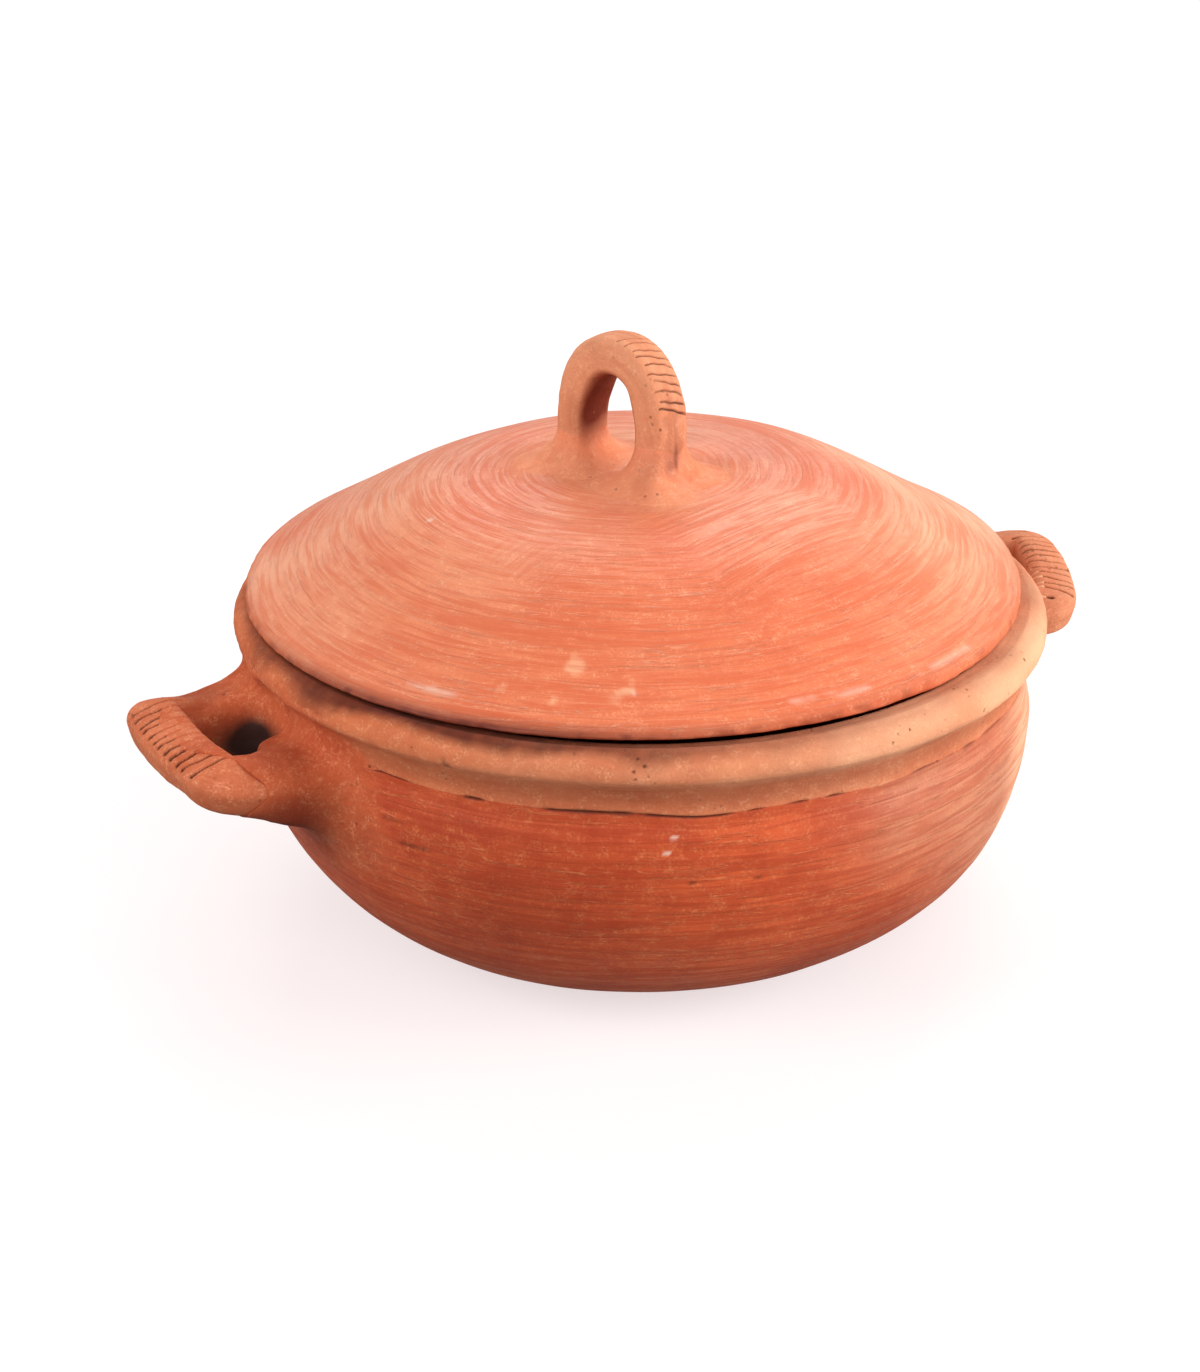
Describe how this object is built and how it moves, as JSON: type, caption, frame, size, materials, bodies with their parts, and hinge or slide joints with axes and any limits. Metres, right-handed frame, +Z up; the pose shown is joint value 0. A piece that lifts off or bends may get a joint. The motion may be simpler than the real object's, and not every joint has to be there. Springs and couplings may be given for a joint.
{
  "type": "clay pot",
  "caption": "Hand-built earthenware cooking pot with a rounded bowl, a rolled rim, two bent-strap ears and a domed lid with a strap loop on top.",
  "frame": {"origin": "middle of the flat rest under the bowl, on the axis that the bowl is turned about", "axes": "+Z up, X from ear to ear with the askew ear at +X, -Y towards the side that the loop's ticked leg faces"},
  "size_m": [0.3798, 0.3, 0.2229],
  "materials": {
    "burnished_bowl_clay": "low-fired red earthenware, burnished with a stone in level strokes, satin",
    "burnished_lid_clay": "low-fired red earthenware, burnished round the crown, satin to glossy",
    "wiped_rim_clay": "low-fired red earthenware, wiped with wet leather, matt, slightly grainy",
    "strap_clay": "low-fired red earthenware, matt, with incised ticks",
    "smeared_clay": "low-fired red earthenware, smeared by finger, matt"
  },
  "bodies": {
    "pot": {"bowl_shell": "burnished_bowl_clay", "rim_coil": "wiped_rim_clay", "ear_left_strap": "strap_clay", "ear_left_front_wad": "smeared_clay", "ear_left_rear_wad": "smeared_clay", "ear_right_strap": "strap_clay", "ear_right_front_wad": "smeared_clay", "ear_right_rear_wad": "smeared_clay"},
    "lid": {"lid_dome": "burnished_lid_clay", "lid_loop_strap": "strap_clay", "lid_loop_rear_wad": "smeared_clay", "lid_loop_front_wad": "smeared_clay"}
  },
  "joints": [
    {"name": "lid_lift", "type": "slide", "parent": "pot", "child": "lid", "axis": [0, 0, 1], "range_m": [0, 0.2]}
  ]
}
